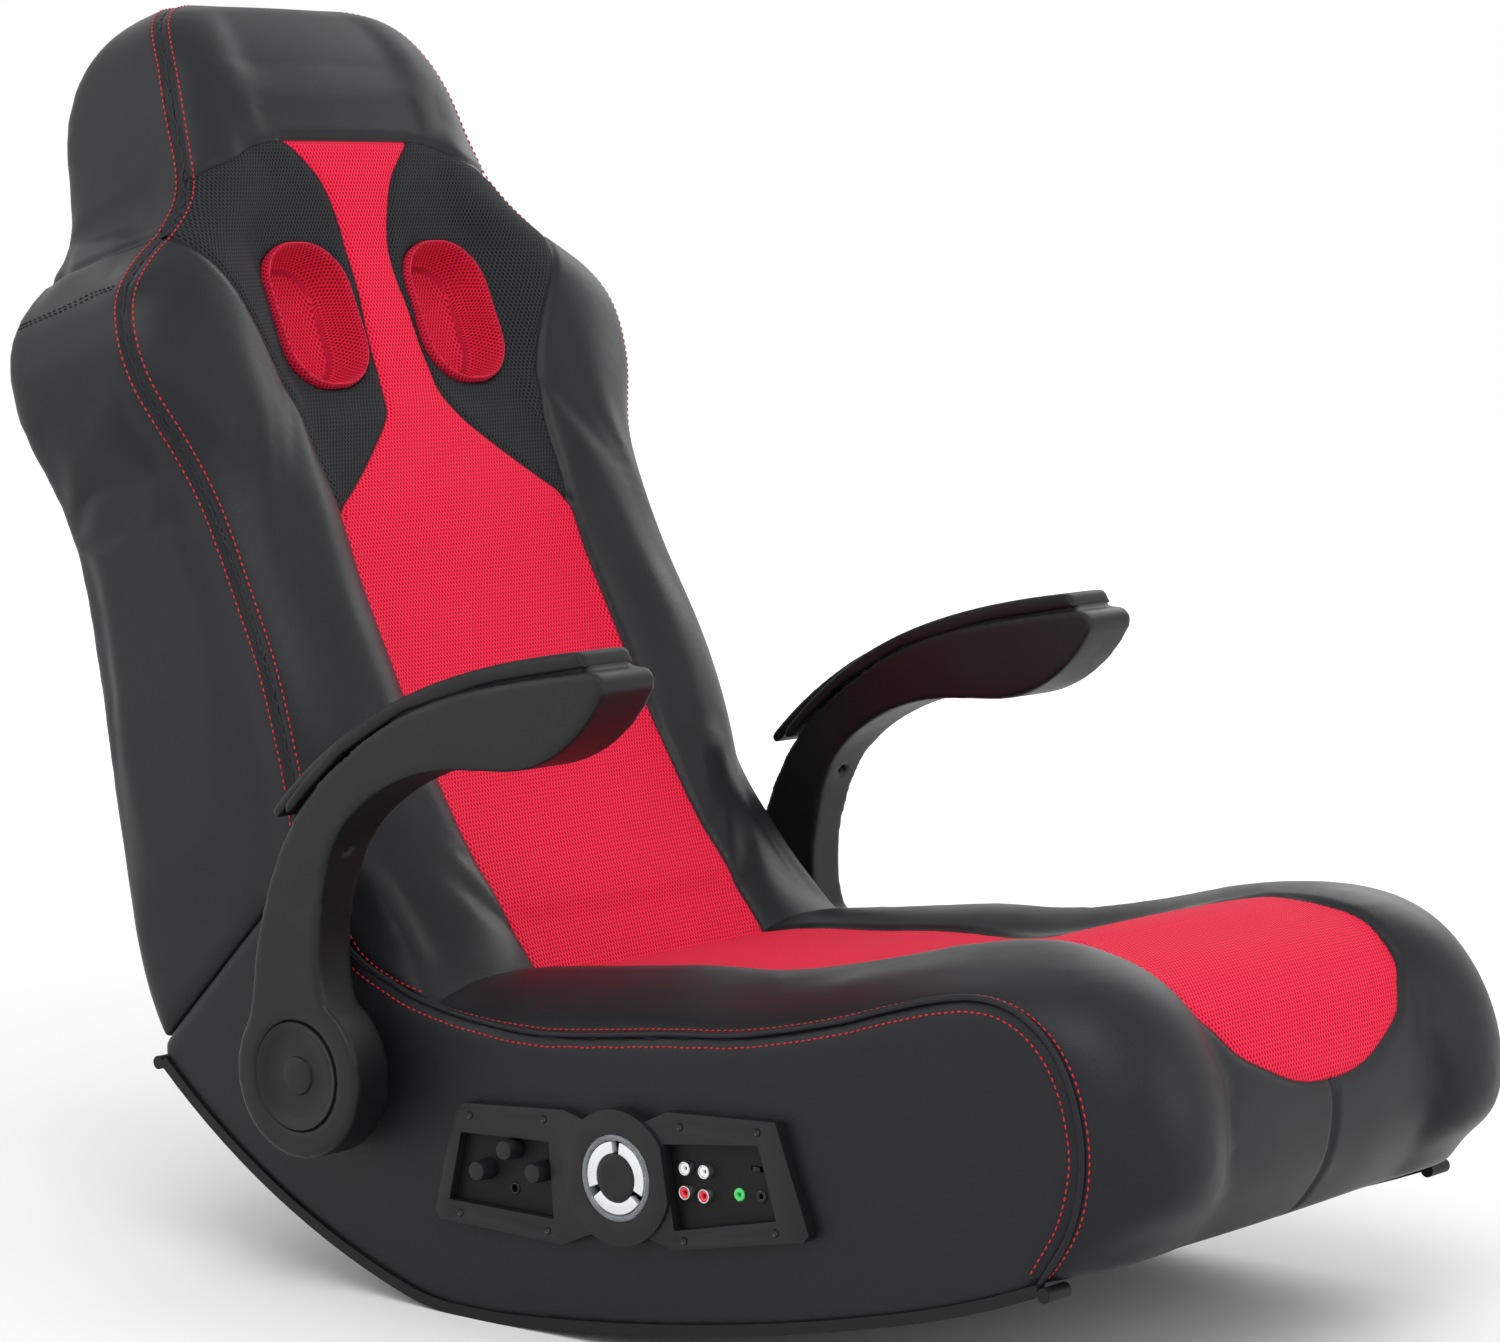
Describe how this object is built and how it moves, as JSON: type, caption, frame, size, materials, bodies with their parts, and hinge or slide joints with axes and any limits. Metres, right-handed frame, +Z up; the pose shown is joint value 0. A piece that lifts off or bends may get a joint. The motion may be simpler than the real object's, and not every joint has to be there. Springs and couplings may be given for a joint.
{
  "type": "gaming rocker chair",
  "caption": "Legless floor rocker with a high winged back, red mesh middle, built-in speakers, a side control panel and two flip-up arms.",
  "frame": {"origin": "on the floor, under the middle of the outer box", "axes": "+X to the sitter's left, -Y to the front, +Z up"},
  "size_m": [0.618, 1.0822, 0.9314],
  "materials": {
    "black_leather": "satin coated fabric over foam",
    "black_shell": "moulded, satin",
    "board": "raw board",
    "clear": "clear moulding",
    "dark_steel": "black paint",
    "driver": "paper cone and magnet",
    "gloss_black": "polished",
    "green_plastic": "moulded",
    "pad_black": "soft skin",
    "panel_black": "moulded, satin",
    "red_mesh": "open knitted mesh over foam",
    "red_plastic": "moulded",
    "screw": "blackened",
    "silver": "silver finish",
    "steel": "zinc",
    "trim_black": "satin",
    "white_plastic": "moulded"
  },
  "bodies": {
    "base": {"seat_cushion": "black_leather", "seat_deck": "board", "front_rail": "board", "middle_rail": "board", "deck_rail": "board", "rear_rail": "board", "crease_roll": "black_leather", "bottom_panel": "panel_black", "rocker_board_left": "board", "rocker_board_right": "board", "side_cover_left": "black_leather", "side_cover_right": "black_leather", "rocker_trim_left": "trim_black", "rocker_trim_right": "trim_black", "seat_hinge_left": "steel", "seat_hinge_right": "steel", "arm_pivot_left": "dark_steel", "arm_pivot_right": "dark_steel", "amplifier": "panel_black", "control_bezel": "panel_black", "rear_plate": "panel_black", "front_plate": "panel_black", "rca_sockets_white": "white_plastic", "rca_sockets_red": "red_plastic", "headphone_socket": "green_plastic", "link_socket": "gloss_black", "power_inlet": "gloss_black", "dial_ring": "clear", "dial_centre": "gloss_black", "panel_screws": "screw"},
    "backrest": {"back_cushion": "black_leather", "head_cushion": "black_leather", "back_cover": "black_leather", "back_tube": "dark_steel", "back_cross_bars": "dark_steel", "back_hinge_left": "steel", "back_hinge_right": "steel", "speaker_pocket_left": "red_mesh", "speaker_pocket_right": "red_mesh", "speaker_left": "driver", "speaker_right": "driver", "subwoofer_box": "board", "subwoofer": "driver"},
    "arm_left": {"arm_shell_left": "black_shell", "arm_pad_left": "pad_black", "hub_cap_left": "black_shell", "arm_screw_left": "screw"},
    "arm_right": {"arm_shell_right": "black_shell", "arm_pad_right": "pad_black", "hub_cap_right": "black_shell", "arm_screw_right": "screw"},
    "volume_knob": {"volume_knob": "gloss_black"},
    "bass_knob": {"bass_knob": "gloss_black"},
    "vibration_knob": {"vibration_knob": "gloss_black"},
    "power_switch": {"power_switch": "gloss_black"},
    "dial_button_front": {"dial_button_front": "silver"},
    "dial_button_rear": {"dial_button_rear": "silver"},
    "dial_button_low": {"dial_button_low": "silver"}
  },
  "joints": [
    {"name": "back_fold", "type": "hinge", "parent": "base", "child": "backrest", "pos_m": [0, 0.076, 0.202], "axis": [1, 0, 0], "range_deg": [0, 80]},
    {"name": "arm_left_flip", "type": "hinge", "parent": "base", "child": "arm_left", "pos_m": [0.276, 0.147, 0.1655], "axis": [-1, 0, 0], "range_deg": [0, 90]},
    {"name": "arm_right_flip", "type": "hinge", "parent": "base", "child": "arm_right", "pos_m": [-0.276, 0.147, 0.1655], "axis": [-1, 0, 0], "range_deg": [0, 90]},
    {"name": "volume_knob_turn", "type": "hinge", "parent": "base", "child": "volume_knob", "pos_m": [-0.254, -0.0165, 0.128], "axis": [-1, 0, 0], "range_deg": [-140, 140]},
    {"name": "bass_knob_turn", "type": "hinge", "parent": "base", "child": "bass_knob", "pos_m": [-0.254, 0.009, 0.11], "axis": [-1, 0, 0], "range_deg": [-140, 140]},
    {"name": "vibration_knob_turn", "type": "hinge", "parent": "base", "child": "vibration_knob", "pos_m": [-0.254, -0.043, 0.1155], "axis": [-1, 0, 0], "range_deg": [-140, 140]},
    {"name": "power_switch_slide", "type": "slide", "parent": "base", "child": "power_switch", "axis": [0, 1, 0], "range_m": [-0.002, 0.002]},
    {"name": "dial_button_front_press", "type": "slide", "parent": "base", "child": "dial_button_front", "axis": [1, 0, 0], "range_m": [0, 0.001], "stiffness_N_per_m": 500},
    {"name": "dial_button_rear_press", "type": "slide", "parent": "base", "child": "dial_button_rear", "axis": [1, 0, 0], "range_m": [0, 0.001], "stiffness_N_per_m": 500},
    {"name": "dial_button_low_press", "type": "slide", "parent": "base", "child": "dial_button_low", "axis": [1, 0, 0], "range_m": [0, 0.001], "stiffness_N_per_m": 500}
  ]
}
